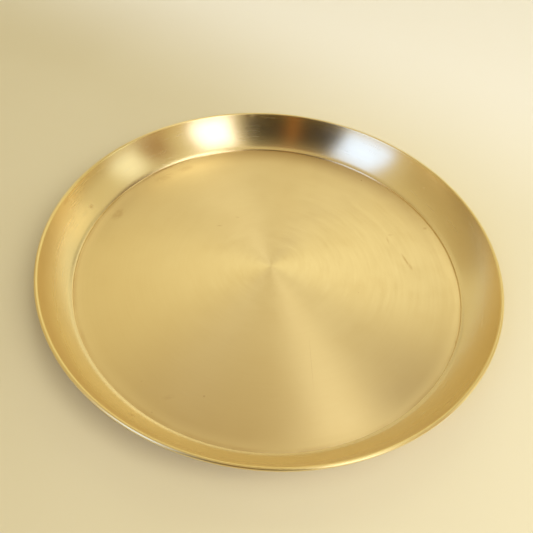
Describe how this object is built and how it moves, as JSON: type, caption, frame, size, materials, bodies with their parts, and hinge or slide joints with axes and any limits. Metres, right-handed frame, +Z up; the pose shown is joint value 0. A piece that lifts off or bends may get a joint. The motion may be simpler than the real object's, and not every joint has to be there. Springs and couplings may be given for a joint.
{
  "type": "paten plate",
  "caption": "Round shallow brass plate with a flat circular-brushed well, a small step, a hollow flaring wall and a wired rolled rim, for holding altar bread.",
  "frame": {"origin": "centre of the flat underside that the plate stands on", "axes": "+Z up along the plate's axis, from the underside to the open side; X and Y lie in the resting plane"},
  "size_m": [0.3, 0.3, 0.026],
  "materials": {
    "spun_brass": "fine circular satin brushing, light handling marks",
    "wire_brass": "drawn wire, plain"
  },
  "bodies": {
    "root": {"spun_dish": "spun_brass", "rim_wire": "wire_brass"}
  },
  "joints": []
}
